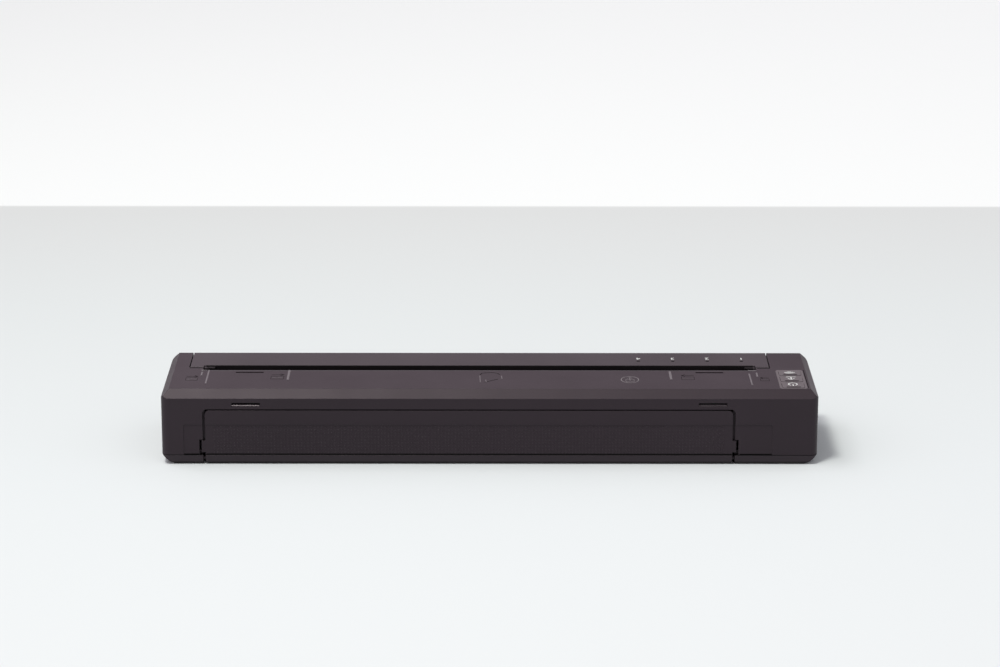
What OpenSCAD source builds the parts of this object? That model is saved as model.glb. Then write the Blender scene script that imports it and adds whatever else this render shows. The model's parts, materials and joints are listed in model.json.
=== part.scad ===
// Portable page-width thermal printer: a slim bar with a hinged release cover over the platen,
// a battery cover hinged along its front edge, a sprung print head and a small gear train.
// +X runs along the bar, -Y is the battery side, +Z is up; the origin is the middle of the base.

/* [Body] */
// Length of the body
body_w = 255; // [252:1:264]
// Depth of the body
body_d = 55; // [54:0.5:58]
// Height of the body on its feet
body_h = 30; // [29.5:0.5:33]
// Wall of the case mouldings
wall = 1.8; // [1.5:0.1:2]
// Radius of the upright corners
corner_r = 3; // [2:0.5:4]
// Drop of the top edge chamfer
edge_drop = 3.2; // [2.6:0.1:3.8]
// Reach of the top edge chamfer into the top
edge_in = 3; // [2.4:0.1:3.6]
// Height of the line where the two cases meet
lip_h = 3.9; // [3.5:0.1:4.5]
// Height where the lower lip turns under
turn_h = 1.1; // [0.9:0.1:1.4]
// How far the lip leans in above that turn, at front and back
lip_in = 0.6; // [0.4:0.1:0.8]
// How far the lip leans in above that turn, at the ends
lip_end_in = 3.1; // [2.4:0.1:3.4]
// How far the body turns under below it
turn_in = 0.3; // [0.2:0.1:0.6]
// Height of the crease across the front
crease_h = 16.3; // [14:0.5:18]
// Depth of the panel below the crease
crease_d = 0.3; // [0.2:0.05:0.5]
// Height of the rubber feet under the case
foot_h = 0.3; // [0.2:0.1:0.4]
// Length of a rubber foot
foot_l = 14; // [10:1:18]
// Width of a rubber foot
foot_w = 5; // [4:0.5:6]

/* [Release cover] */
// Length of the body's left end, beside the release cover
left_end = 9; // [8:0.5:10]
// Length of the body's right end, with the keys
right_end = 17; // [16.5:0.5:18]
// Length of each end of the cover, outside the paper slot
cover_end = 5.25; // [5:0.05:5.5]
// Gap at each end of the release cover
cover_gap = 0.45; // [0.35:0.05:0.6]
// Distance from the back to the front edge of the release cover
cover_d = 20.8; // [20:0.2:21.4]
// How far the ends of the cover reach past that edge
cover_ear = 2; // [1.5:0.1:2.4]
// Distance from the back to the hinge axis
hinge_in = 4; // [3.8:0.1:4.4]
// Height of the hinge axis
hinge_z = 9; // [8.8:0.1:9.4]
// Radius of the hinge pins
hinge_r = 1.1; // [0.9:0.1:1.2]
// Radius of the light guides
light_r = 0.75; // [0.5:0.05:1]
// Distance between the light guides
light_pitch = 13.7; // [12:0.1:15]

/* [Paper path] */
// Width of the paper slot
slot_d = 6; // [5.6:0.1:6.4]
// Height of the sill under the paper exit
sill_z = 8.3; // [8:0.1:8.6]
// Height of the paper exit
exit_h = 4.6; // [4.4:0.1:5]
// Distance from each end of the slot to the platen sleeve
platen_side = 1.05; // [0.8:0.05:1.5]
// Radius of the platen sleeve
platen_r = 5.5; // [5.2:0.1:5.8]
// Radius of the platen shaft
shaft_r = 2.5; // [2:0.1:3]
// Distance from the back to the platen axis
platen_in = 15.5; // [15.2:0.1:15.8]
// Height of the platen axis
platen_z = 16; // [15.8:0.1:16.4]
// Gap between the platen and the head line
nip = 0.25; // [0.15:0.05:0.35]

/* [Print head] */
// Depth of the ceramic head
head_d = 11; // [10:0.5:12]
// Thickness of the ceramic head
head_t = 1; // [0.8:0.1:1.2]
// Thickness of the heat sink
sink_t = 2.9; // [2.4:0.1:3.1]
// Radius of a head spring
spring_r = 2; // [1.6:0.1:2.2]
// Wire diameter of a head spring
wire_d = 0.5; // [0.4:0.05:0.6]
// Turns of a head spring
spring_turns = 4; // [3:1:5]

/* [Drive] */
// Gear module
gear_m = 0.5; // [0.4:0.02:0.52]
// Teeth of the motor pinion
pinion_n = 10; // [10:1:12]
// Teeth of the large wheel of the reduction gear
wheel_n = 30; // [28:1:30]
// Teeth of the small wheel of the reduction gear
small_n = 12; // [11:1:13]
// Teeth of the first idler
idler_n = 18; // [17:1:19]
// Teeth of the second idler
relay_n = 14; // [13:1:15]
// Teeth of the platen gear
platen_n = 20; // [19:1:20]
// Face width of the gears
gear_w = 1.6; // [1.3:0.1:1.7]
// Play between the flanks of two gears
backlash = 0.1; // [0.06:0.01:0.14]
// Radius of the motor can
motor_r = 9; // [8:0.5:9]
// Length of the motor can
motor_l = 11.6; // [10:0.2:12]
// Radius of the gear axles
axle_r = 0.9; // [0.7:0.1:1]
// Thickness of the steel side plates
plate_t = 0.8; // [0.6:0.1:0.9]

/* [Battery] */
// Distance from the left end of the release cover to the battery cover
door_left = 8.1; // [7.6:0.1:9]
// Distance from the right end of the release cover to the battery cover
door_right = 16.2; // [15.6:0.1:17]
// Distance from the top to the top edge of the battery cover
door_down = 8; // [7.8:0.1:9]
// Gap at the ends of the battery cover
door_gap = 1; // [0.6:0.1:1.2]
// Radius of the battery cover's hinge pins
door_pin_r = 0.75; // [0.6:0.05:0.8]
// Gap round the battery pack in its tray
pack_gap = 0.5; // [0.3:0.1:0.8]
// Bevel along the front edges of the battery pack
pack_bevel = 2.6; // [2.4:0.1:3]
// Length of the connector at the end of the battery pack
connector_l = 6.8; // [6:0.2:8]

/* [Keys] */
// Width of the key panel
panel_w = 10.8; // [10:0.2:11]
// Width of a key
key_w = 8.6; // [7:0.2:8.8]
// Gap between two keys
key_gap = 1.7; // [1.5:0.1:2.4]
// Travel of a key
key_travel = 0.3; // [0.2:0.05:0.35]

/* [Ports] */
// Radius of the power inlet bore
inlet_r = 2.85; // [2.5:0.05:3]
// Depth of the power inlet bore
inlet_l = 9.5; // [8:0.5:10]
// Width of the data port
port_w = 9; // [8.4:0.1:9.4]
// Height of the data port
port_h = 3.3; // [3:0.1:3.6]

/* [Hidden] */
$fn = 48;
eps = 0.01;
seam = 0.15;            // gap along the line where mouldings meet
run = 0.05;             // radial clearance of a running fit
clear = 0.3;            // gap between pieces that move past each other
rib_t = 1.2;            // thickness of ribs and inner walls
bevel = 0.5;            // bevel of the edges along the slot and the release cover

// planes of the body
front_y = -body_d / 2;
back_y = body_d / 2;
end_x = body_w / 2;
in_front = front_y + wall;
in_back = back_y - wall;
in_end = end_x - wall;
floor_z = foot_h + wall;
ceil_z = body_h - wall;

// release cover, slot and hinge
cover_l = -end_x + left_end;
cover_r = end_x - right_end;
path_x = (cover_l + cover_r) / 2;       // middle of the paper path
slot_l = cover_l + cover_end;
slot_r = cover_r - cover_end;
slot_w = slot_r - slot_l;
cover_y = back_y - cover_d;
slot_y = cover_y - slot_d;
ear_y = cover_y - cover_ear;
hinge_y = back_y - hinge_in;
exit_z = sill_z + exit_h;
arm_t = 1.6;                    // thickness of the arms that carry the platen
eye_r = hinge_r + 0.85;         // radius of an arm's hinge eye
arm_l = slot_l - clear - arm_t; // outer face of the left arm
arm_r = slot_r + clear;         // inner face of the right arm

// light guides in the cover
light_y = cover_y + 6.3;
light_board_z = ceil_z - 1.8;
function light_x(i) = cover_r - 10.2 - (3 - i) * light_pitch;

// platen
platen_y = back_y - platen_in;
platen_l = slot_l + platen_side;
platen_right = slot_r - platen_side;
platen_w = platen_right - platen_l;
bush_r = shaft_r + 1.2;
boss_r = bush_r + 0.9;

// gears: two planes side by side, inside the right side plate
side_r = cover_r - plate_t - 0.2;       // inner face of the right side plate
side_l = cover_l + 0.3 + plate_t;       // inner face of the left side plate
plane_a = side_r - gear_w - clear;      // platen gear, idlers, small wheel
plane_b = plane_a - gear_w - clear;     // large wheel and pinion
mesh_gap = 0.05;                        // extra centre distance of two gears
function pitch_r(n) = gear_m * n / 2;
function tip_r(n) = pitch_r(n) + gear_m;
function centres(a, b) = pitch_r(a) + pitch_r(b) + mesh_gap;
function polar(p, d, a) = [p[0] + d * cos(a), p[1] + d * sin(a)];
// phase of the second gear, so that its gap meets the first one's tooth along the angle a
function mesh_phase(a, n1, phase1, n2) = a + 180 + 180 / n2 - n1 / n2 * (phase1 - a);

skirt_z = platen_z + tip_r(platen_n) + 1.2;     // lower edge of the cover's end walls
platen_c = [platen_y, platen_z];
hinge_c = [hinge_y, hinge_z];
relay_a = 261;      // direction from the platen to the relay gear
idler_a = 169;      // direction from the relay gear to the idler
reduction_a = 148;  // direction from the idler to the reduction gear
pinion_a = 186;     // direction from the reduction gear to the pinion
relay_c = polar(platen_c, centres(platen_n, relay_n), relay_a);
idler_c = polar(relay_c, centres(relay_n, idler_n), idler_a);
reduction_c = polar(idler_c, centres(idler_n, small_n), reduction_a);
pinion_c = polar(reduction_c, centres(wheel_n, pinion_n), pinion_a);
relay_p = mesh_phase(relay_a, platen_n, 0, relay_n);
idler_p = mesh_phase(idler_a, relay_n, relay_p, idler_n);
small_p = mesh_phase(reduction_a, idler_n, idler_p, small_n);
pinion_p = mesh_phase(pinion_a, wheel_n, 0, pinion_n);
motor_x = plane_b - clear - 1;          // drive side of the motor can
bracket_t = 1;

// print head, from the nip down
head_line = 0.1;                        // height of the heater line above the ceramic
head_z = platen_z - platen_r - nip - head_line;
head_y = platen_y + 3.5;                // rear edge of the ceramic
sink_z = head_z - head_t - sink_t;
spring_n = 4;
spring_pitch = platen_w / spring_n;
spring_y = platen_y - 3;

// battery cover and tray
door_l = cover_l + door_left;
door_r = cover_r - door_right;
door_w = door_r - door_l;
door_top = body_h - door_down;
door_top_gap = 0.5;
door_c = [front_y + 2.1, foot_h + 2];   // hinge axis of the battery cover
swing_r = 2.5;                          // room for its lower edge round that axis
barrel_r = 1.5;                         // radius of its hinge barrel
door_pin_l = 2.6;
ear_z = lip_h + 1.1;                    // foot of the small ears at its ends
ear_h = 4.6;
ear_top = ear_z + ear_h + door_gap / 2;
tab_w = 11;                             // length of the snap tabs in the slits
tab_dx = slot_w / 2 - 18.75;            // their distance from the middle of the paper path
tray_t = 1;
tray_z = door_top + 0.5;                // underside of the tray's roof
tray_y = slot_y - 4.9;                  // rear face of the tray
tray_r = door_r - 3;                    // right end of the tray
tray_l = door_l + 1;                    // left end of the tray
pack_l = tray_l + tray_t + pack_gap;
pack_r = tray_r - tray_t - connector_l - pack_gap;
pack_y = in_front + pack_gap + 0.2;
pack_back = tray_y - tray_t - pack_gap;
pack_z = floor_z + pack_gap;
pack_top = tray_z - pack_gap;
slit_z = tray_z + 1.2;                  // bottom of the front slits
slit_h = 1.4;
slit_y = slot_y - 4.1;                  // front edge of the top slits

// boards
board_t = 1.2;
board_z = tray_z + tray_t + 1;          // underside of the main board
key_x = cover_r + 7.5;                  // middle of the key panel
panel_y = ear_y - 3.7;                  // rear edge of the key panel
panel_d = panel_y - front_y - edge_in - 0.3;
panel_t = 1.3;
key_edge = 1;                           // rim of the panel before the first key
key_play = 0.15;                        // gap round a key
key_pitch = (panel_d - 2 * key_edge + key_gap) / 3;
key_d = key_pitch - key_gap;
key_y = panel_y - key_edge - key_d / 2; // middle of the rear key
switch_h = 2.4;
key_board_z = ceil_z - 5.4;
key_board_t = 1;
chip_y = in_front + 11;
stem_z = key_board_z + key_board_t + switch_h + key_travel + 0.1;
port_board_z = floor_z + 3.9;
port_z = port_board_z + board_t;
inlet_w = 9;
inlet_h = 7;
inlet_y = front_y + 12.5;
data_y = front_y + 24.5;
port_post_x = [in_end - 7.6, in_end - 2.2];
port_post_y = [front_y + 9.2, front_y + 28];
port_face = end_x - 0.6;                // mouths of the ports

// fasteners
screw_r = 1.1;
screw_head_r = 2;
screw_boss_r = 2.5;
corner_screws = [
    [-end_x + 5.2, front_y + 6.5], [-end_x + 5.2, back_y - 6.5],
    [cover_r - 2, front_y + 6], [end_x - 5.2, back_y - 6.5],
];
board_l = tray_r - tray_l;
board_x = [tray_l + 0.07 * board_l, tray_l + 0.28 * board_l, tray_r - 16];
cable_w = slot_w / 3;                   // width of the head's cable
post_x = cover_r + 3.9;                 // posts of the key board
post_y = [front_y + 4.6, panel_y - 1.2];

// ---- helpers ----
module block(x0, x1, y0, y1, z0, z1)
    translate([x0, y0, z0]) cube([x1 - x0, y1 - y0, z1 - z0]);

// a profile drawn in Y and Z, drawn out along X
module along_x(x0, x1)
    translate([x0, 0, 0]) rotate([90, 0, 90]) linear_extrude(x1 - x0) children();

// a profile drawn in X and Z, drawn out along Y
module along_y(y0, y1)
    translate([0, y1, 0]) rotate([90, 0, 0]) linear_extrude(y1 - y0) children();

module rod_x(r, x0, x1, c)
    translate([x0, c[0], c[1]]) rotate([0, 90, 0]) cylinder(r = r, h = x1 - x0);

module rod_z(r, x, y, z0, z1)
    translate([x, y, z0]) cylinder(r = r, h = z1 - z0);

module rounded(w, d, r) {
    square([w - 2 * r, d], center = true);
    square([w, d - 2 * r], center = true);
    for (x = [-1, 1], y = [-1, 1])
        translate([x * (w / 2 - r), y * (d / 2 - r)]) circle(r);
}

// points of an arc about c, from angle a0 to a1
function arc(c, r, a0, a1, n = 12) = [for (i = [0:n]) polar(c, r, a0 + (a1 - a0) * i / n)];

// how far the body leans in at its base, for a given lean of the lip above
function under(lean) = 1.4 * lean + turn_in;

// half of the body's section, t inside its surface; h is half the width, lean that of the upper lip
module section(h, lean, reach, t) {
    trim = 0.586 * t;
    half = [
        [h - t - under(lean), foot_h + t],
        [h - t - lean, turn_h + 0.7 * t],
        [h - t, lip_h],
        [h - t, body_h - t - edge_drop + trim],
        [h - t - reach + trim, body_h - t],
    ];
    polygon(concat(half, [for (i = [4:-1:0]) [-half[i][0], half[i][1]]]));
}

// the body's outer form, t inside its surface
module blank(t = 0) {
    intersection() {
        translate([0, 0, foot_h])
            linear_extrude(body_h) rounded(body_w - 2 * t, body_d - 2 * t, max(corner_r - t, 0.6));
        along_x(-end_x, end_x) section(body_d / 2, lip_in, edge_in, t);
        along_y(front_y, back_y) section(body_w / 2, lip_end_in, edge_in, t);
    }
}

// the space of the release cover, with a gap round it
module cover_space(g) {
    block(cover_l - g, cover_r + g, ear_y - g, back_y + 1, lip_h, body_h + 1);
    block(slot_l, slot_r, slot_y, back_y, lip_h, body_h + 1);
    along_x(slot_l, slot_r)
        polygon([[slot_y + eps, body_h - bevel], [slot_y - bevel, body_h + eps], [slot_y + 1, body_h + 1]]);
}

// the outline of the battery cover in X and Z
module door_outline(g, top_gap) {
    r = 1.7;
    square_top = door_top + top_gap;
    translate([door_l - g, 0]) square([door_w + 2 * g, square_top - r]);
    translate([door_l - g + r, 0]) square([door_w + 2 * g - 2 * r, square_top]);
    for (x = [door_l - g + r, door_r + g - r]) translate([x, square_top - r]) circle(r);
    drop = g > 0 ? 1.2 : 0;     // the ears swing down past the seam
    for (x = [door_l - g - 1.4, door_r + g - 0.4])
        translate([x, ear_z - drop]) square([1.8, ear_h + drop + g / 2]);
}

// ---- cases ----
module front_crease()
    block(cover_l - 0.4, cover_r - 0.6, front_y - 1, front_y + crease_d, lip_h - seam, crease_h);

module upper_case() color([0.20, 0.18, 0.195]) {
    difference() {
        intersection() {
            difference() {
                blank();
                blank(wall);
            }
            block(-end_x, end_x, front_y, back_y, lip_h + seam / 2, body_h);
        }
        front_crease();
        cover_space(cover_gap);
        along_y(front_y - 1, in_front + 3) door_outline(door_gap, door_top_gap);
        for (s = [-1, 1]) {
            x = path_x + s * tab_dx;
            block(x - tab_w / 2, x + tab_w / 2, front_y - 1, in_front + 1, slit_z, slit_z + slit_h);
            block(x - tab_w / 2, x + tab_w / 2, slit_y, slit_y + slit_h, ceil_z - 1, body_h + 1);
        }
        translate([key_x, panel_y - panel_d / 2, body_h - panel_t])
            linear_extrude(panel_t + 1) rounded(panel_w, panel_d, 1.5);
        for (i = [0:2])
            translate([key_x, key_y - i * key_pitch, ceil_z - 1])
                linear_extrude(wall + 2) rounded(key_w + 2 * key_play, key_d + 2 * key_play, 1.1);
        port_openings();
    }
    // ribs behind the gaps at the ends of the battery cover
    for (x = [door_l - door_gap - 0.8, door_r + 0.15]) {
        block(x, x + door_gap + 0.65, in_front + 0.2, in_front + 1, lip_h + 1.9, door_top + 0.2);
        block(x, x + door_gap + 0.65, in_front - eps, in_front + 1, ear_top + 0.2, door_top + 0.2);
    }
    // walls beside the release cover
    block(cover_l - cover_gap - rib_t, cover_l - cover_gap, ear_y, in_back + eps, lip_h + 2, ceil_z + eps);
    block(cover_r + cover_gap, cover_r + cover_gap + rib_t, ear_y, in_back + eps, lip_h + 2, ceil_z + eps);
    // screw bosses
    intersection() {
        difference() {
            for (p = corner_screws) rod_z(screw_boss_r, p[0], p[1], lip_h + 2, ceil_z + 1);
            for (p = corner_screws) rod_z(screw_r, p[0], p[1], lip_h, ceil_z - 10);
        }
        blank(wall - 0.5);
    }
}

module port_openings() {
    rod_x(inlet_r + 0.9, in_end - 1, end_x + 1, [inlet_y, port_z + inlet_h / 2]);
    translate([in_end - 1, data_y, port_z + port_h / 2]) rotate([90, 0, 90])
        linear_extrude(wall + 2) rounded(port_w + 1.2, port_h + 1.2, port_h / 2);
}

// rim of the lower case that stands inside the upper case, open behind the release cover
module tongue() {
    difference() {
        union() {
            intersection() {
                blank(wall - 0.3);
                block(-end_x, end_x, front_y, back_y, floor_z + 1.1, lip_h - seam / 2);
            }
            intersection() {
                blank(wall + 0.1);
                block(-end_x, end_x, front_y, back_y, floor_z + 1.1, lip_h + 1.6);
            }
        }
        blank(wall + 1);
        block(cover_l - cover_gap - rib_t, cover_r + cover_gap + rib_t, 0, back_y, 0, body_h);
        block(door_l - door_gap, door_r + door_gap, front_y, 0, 0, body_h);
    }
}

module lower_case() color([0.21, 0.19, 0.20]) {
    difference() {
        union() {
            difference() {
                intersection() {
                    blank();
                    block(-end_x, end_x, front_y, back_y, foot_h, lip_h - seam / 2);
                }
                blank(wall);
            }
            tongue();
            // rear wall below the paper exit
            intersection() {
                difference() {
                    blank();
                    blank(wall);
                }
                block(cover_l - cover_gap, cover_r + cover_gap, in_back - 2, back_y, foot_h, sill_z);
            }
            // blocks that hold the battery cover's hinge pins
            intersection() {
                for (x = [door_l - door_gap - 4, door_r + door_gap])
                    block(x, x + 4, front_y, front_y + 4.8, foot_h, lip_h - seam / 2);
                blank();
            }
            for (p = corner_screws) rod_z(screw_boss_r, p[0], p[1], floor_z - eps, lip_h + 1.8);
            for (y = post_y) rod_z(1.7, post_x, y, floor_z - eps, key_board_z);
            for (x = port_post_x, y = port_post_y) rod_z(1.4, x, y, floor_z - eps, port_board_z);
        }
        // room for the battery cover and its hinge barrel
        block(door_l - door_gap, door_r + door_gap, front_y - 1, door_c[0] + 0.4, 0, lip_h + 3);
        rod_x(swing_r, door_l - door_gap, door_r + door_gap, door_c);
        rod_x(door_pin_r + run, door_l - door_pin_l - 0.3, door_r + door_pin_l + 0.3, door_c);
        for (p = corner_screws) {
            rod_z(screw_r + 0.2, p[0], p[1], 0, lip_h + 5);
            rod_z(screw_head_r + 0.2, p[0], p[1], 0, floor_z);
        }
        for (y = post_y) rod_z(screw_r - 0.3, post_x, y, key_board_z - 6, key_board_z + 1);
        // notches for the arms of the release cover
        for (x = [arm_l, arm_r])
            block(x - clear, x + arm_t + clear, in_back - 0.5, back_y + 1, hinge_z - 2.6, body_h);
        for (x = [-1, 1], y = [-1, 1]) foot(x, y, foot_h + 0.3, 0.1);
    }
}

module foot(x, y, top, g = 0)
    translate([x * body_w * 0.38, y * (body_d / 2 - 9), 0])
        linear_extrude(top) {
            square([foot_l - foot_w, foot_w + 2 * g], center = true);
            for (s = [-1, 1]) translate([s * (foot_l - foot_w) / 2, 0]) circle(foot_w / 2 + g);
        }

module rubber_feet() color([0.08, 0.08, 0.08])
    for (x = [-1, 1], y = [-1, 1]) foot(x, y, foot_h + 0.3);

// ---- release cover ----
module arm_plate(x0) {
    along_x(x0, x0 + arm_t) {
        polygon([
            polar(hinge_c, eye_r, 225), polar(hinge_c, eye_r, 15),
            [in_back - 0.2, exit_z + 2], [in_back - 0.2, ceil_z], [platen_y - boss_r, ceil_z],
            polar(platen_c, boss_r, 180), polar(platen_c, boss_r, 250),
        ]);
    }
    rod_x(eye_r, x0, x0 + arm_t, hinge_c);
    rod_x(boss_r, x0, x0 + arm_t, platen_c);
}

// a rib of the cover that holds the sheet near the platen
module cover_rib(x)
    along_x(x - rib_t / 2, x + rib_t / 2) difference() {
        polygon([
            [cover_y + 1, ceil_z + eps], [cover_y + 1, platen_z + 7.4], [cover_y + 3, platen_z + 6],
            [in_back - 4, platen_z + 4], [in_back - 2, exit_z + 0.6], [in_back + eps, exit_z + 0.6],
            [in_back + eps, ceil_z + eps],
        ]);
        translate(platen_c) circle(platen_r + 1.2);
    }

module front_bevel(x0, x1, y)
    along_x(x0, x1) polygon([[y - eps, body_h - bevel], [y + bevel, body_h + eps], [y - 1, body_h + 1]]);

module release_cover() color([0.36, 0.34, 0.35]) difference() {
    union() {
        // top and back skin
        intersection() {
            difference() {
                blank();
                along_x(cover_l - 1, cover_r + 1) section(body_d / 2, lip_in, edge_in, wall);
            }
            union() {
                block(slot_l, slot_r, cover_y, back_y, exit_z, body_h);
                block(cover_l, slot_l + eps, ear_y, back_y, exit_z, body_h);
                block(slot_r - eps, cover_r, ear_y, back_y, exit_z, body_h);
            }
        }
        // end walls
        intersection() {
            blank(0.2);
            for (x = [cover_l, cover_r - wall]) block(x, x + wall, ear_y, back_y, skirt_z, body_h);
        }
        // front lip behind the slot, and the lugs at its ends
        block(slot_l, slot_r, cover_y, cover_y + 1.4, platen_z + 8, body_h - bevel);
        for (x = [slot_l + 0.3, slot_r - 4.4])
            block(x, x + 4.1, cover_y - 1.8, cover_y + eps, ceil_z - 4, body_h - bevel);
        arm_plate(arm_l);
        arm_plate(arm_r);
        difference() {
            for (i = [-3:3]) cover_rib(path_x + i * slot_w / 7.2);
            block(light_x(0) - 7.3, light_x(3) + 4.7, light_y - 3.3, light_y + 3.3,
                  light_board_z - clear, ceil_z);
        }
        for (x = [light_x(0) - 5, light_x(3) + 2.8])
            rod_z(1.3, x, light_y, light_board_z + 0.8, ceil_z + eps);
    }
    for (i = [0:3]) rod_z(light_r, light_x(i), light_y, ceil_z - 1, body_h + 1);
    // bevelled front edges
    front_bevel(cover_l - 1, slot_l, ear_y);
    front_bevel(slot_r, cover_r + 1, ear_y);
    for (x = [arm_l, arm_r]) {
        rod_x(bush_r, x - 1, x + arm_t + 1, platen_c);
        rod_x(hinge_r, x - 1, x + arm_t + 1, hinge_c);
    }
}

module light_guides() color([0.85, 0.87, 0.86])
    for (i = [0:3]) {
        rod_z(light_r, light_x(i), light_y, ceil_z - 0.3, body_h - 0.1);
        rod_z(light_r + 0.5, light_x(i), light_y, ceil_z - 0.3, ceil_z);
    }

module light_board() color([0.10, 0.35, 0.20]) {
    block(light_x(0) - 7, light_x(3) + 4.4, light_y - 3, light_y + 3, light_board_z, light_board_z + 0.8);
    for (i = [0:3])
        block(light_x(i) - 0.8, light_x(i) + 0.8, light_y - 0.4, light_y + 0.4,
              light_board_z + 0.8 - eps, light_board_z + 1.4);
}

module cover_hinge_pins() color([0.72, 0.72, 0.74]) {
    rod_x(hinge_r, side_l - plate_t - 0.2, arm_l + arm_t, hinge_c);
    rod_x(hinge_r, arm_r, side_r + plate_t + 0.2, hinge_c);
}

// ---- platen ----
module platen_sleeve() color([0.12, 0.12, 0.12]) difference() {
    rod_x(platen_r, platen_l, platen_right, platen_c);
    rod_x(shaft_r, platen_l - 1, platen_right + 1, platen_c);
}

module platen_shaft() color([0.75, 0.75, 0.77])
    rod_x(shaft_r, arm_l - 0.8, plane_a + gear_w + 0.1, platen_c);

module platen_bushings() color([0.85, 0.84, 0.80])
    for (x = [arm_l, arm_r]) difference() {
        union() {
            rod_x(bush_r, x, x + arm_t, platen_c);
            rod_x(boss_r - 0.2, x == arm_l ? x - 0.5 : x + arm_t, x == arm_l ? x : x + arm_t + 0.2, platen_c);
        }
        rod_x(shaft_r + run, x - 1, x + arm_t + 1, platen_c);
    }

// ---- gears ----
module gear(n, c, x0, w, phase, bore) {
    p = pitch_r(n);
    half = PI * gear_m / 4 - backlash / 2;      // half of a tooth's thickness on the pitch circle
    tip = p + gear_m * 0.95;
    root = p - gear_m * 1.2;
    function side(r, h) = h / r * 180 / PI;
    pts = [for (i = [0:n - 1]) let (a = phase + i * 360 / n) each [
        polar([0, 0], root, a - side(root, half + 0.15 * gear_m)),
        polar([0, 0], p, a - side(p, half)),
        polar([0, 0], tip, a - side(tip, half - 0.33 * gear_m)),
        polar([0, 0], tip, a + side(tip, half - 0.33 * gear_m)),
        polar([0, 0], p, a + side(p, half)),
        polar([0, 0], root, a + side(root, half + 0.15 * gear_m)),
    ]];
    translate([0, c[0], c[1]]) difference() {
        along_x(x0, x0 + w) polygon(pts);
        if (bore > 0) rod_x(bore, x0 - 1, x0 + w + 1, [0, 0]);
    }
}

module platen_gear() color([0.88, 0.86, 0.80])
    gear(platen_n, platen_c, plane_a, gear_w, 0, shaft_r);

module relay_gear() color([0.88, 0.86, 0.80])
    gear(relay_n, relay_c, plane_a, gear_w, relay_p, axle_r + run);

module idler_gear() color([0.88, 0.86, 0.80])
    gear(idler_n, idler_c, plane_a, gear_w, idler_p, axle_r + run);

module reduction_gear() color([0.88, 0.86, 0.80]) {
    gear(small_n, reduction_c, plane_a, gear_w, small_p, axle_r + run);
    gear(wheel_n, reduction_c, plane_b, gear_w, 0, axle_r + run);
    difference() {
        rod_x(axle_r + 0.8, plane_b + gear_w - eps, plane_a + eps, reduction_c);
        rod_x(axle_r + run, plane_b, plane_a + 1, reduction_c);
    }
}

module gear_axles() color([0.72, 0.72, 0.74]) {
    rod_x(axle_r, plane_a - 0.1, side_r + plate_t, relay_c);
    rod_x(axle_r, plane_a - 0.1, side_r + plate_t, idler_c);
    rod_x(axle_r, plane_b - 0.1, side_r + plate_t, reduction_c);
}

module motor_pinion() color([0.80, 0.70, 0.40]) {
    gear(pinion_n, pinion_c, plane_b, gear_w, pinion_p, 0.75);
    rod_x(0.75, motor_x - motor_l + 1, plane_b + gear_w + 0.1, pinion_c);
}

module motor_can() color([0.70, 0.70, 0.71]) difference() {
    union() {
        rod_x(motor_r, motor_x - motor_l, motor_x, pinion_c);
        rod_x(2.5, motor_x - eps, motor_x + bracket_t, pinion_c);
    }
    rod_x(0.75 + run, motor_x - motor_l + 0.8, motor_x + bracket_t + 1, pinion_c);
}

module motor_bracket() color([0.62, 0.62, 0.64]) difference() {
    union() {
        block(motor_x, motor_x + bracket_t, pinion_c[0] - motor_r, pinion_c[0] + motor_r - 1.5,
              floor_z, pinion_c[1] + motor_r);
        block(motor_x - 5, motor_x + bracket_t, pinion_c[0] - motor_r, pinion_c[0] - motor_r + 4,
              floor_z, floor_z + bracket_t - 0.2);
    }
    rod_x(2.5, motor_x - 1, motor_x + bracket_t + 1, pinion_c);
}

// ---- side plates ----
module plate_shape(x0) {
    difference() {
        along_x(x0, x0 + plate_t) polygon([
            [slot_y - 8, floor_z], [in_back - under(lip_in) - 0.3, floor_z], [in_back - 1.3, lip_h],
            [in_back - 1.3, hinge_z + 3],
            [hinge_y - 3, hinge_z + 3.4], [platen_y + 6.5, hinge_z + 1], [platen_y - 1, platen_z - 6.4],
            [platen_y - 6.5, platen_z + 1], [platen_y - 7.5, platen_z + 5.5], [slot_y - 8, platen_z + 5.5],
        ]);
        rod_x(hinge_r + run, x0 - 1, x0 + plate_t + 1, hinge_c);
    }
}

module left_side_plate() color([0.66, 0.66, 0.68]) {
    plate_shape(side_l - plate_t);
    block(side_l - eps, side_l + 3, slot_y - 2, slot_y + 6, floor_z, floor_z + plate_t);
}

module right_side_plate() color([0.66, 0.66, 0.68]) difference() {
    plate_shape(side_r);
    for (c = [relay_c, idler_c, reduction_c]) rod_x(axle_r, side_r - 1, side_r + plate_t + 1, c);
}

// ---- paper path ----
module paper_chute() color([0.16, 0.15, 0.16]) {
    bend = platen_r + 1.5;
    along_x(slot_l, slot_r) polygon(concat(
        [[slot_y, ceil_z], [slot_y, platen_z + 6.5]],
        arc(platen_c, bend, 166, 214),
        arc(platen_c, bend + rib_t, 214, 172),
        [[slot_y - rib_t, platen_z + 6], [slot_y - rib_t, ceil_z]]
    ));
    for (s = [-1, 1]) {
        x = path_x + s * tab_dx;
        block(x - tab_w / 2 + 0.1, x + tab_w / 2 - 0.1, slit_y + 0.1, slit_y + slit_h - 0.1,
              ceil_z - 2.6, body_h - 0.7);
        block(x - tab_w / 2 + 0.1, x + tab_w / 2 - 0.1, slit_y + 0.1, slot_y - rib_t + eps,
              ceil_z - 2.6, ceil_z - 1.6);
    }
    for (x = [slot_l, slot_r - rib_t])
        block(x, x + rib_t, tray_y, slot_y - rib_t + eps, platen_z + 4, ceil_z);
}

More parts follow.
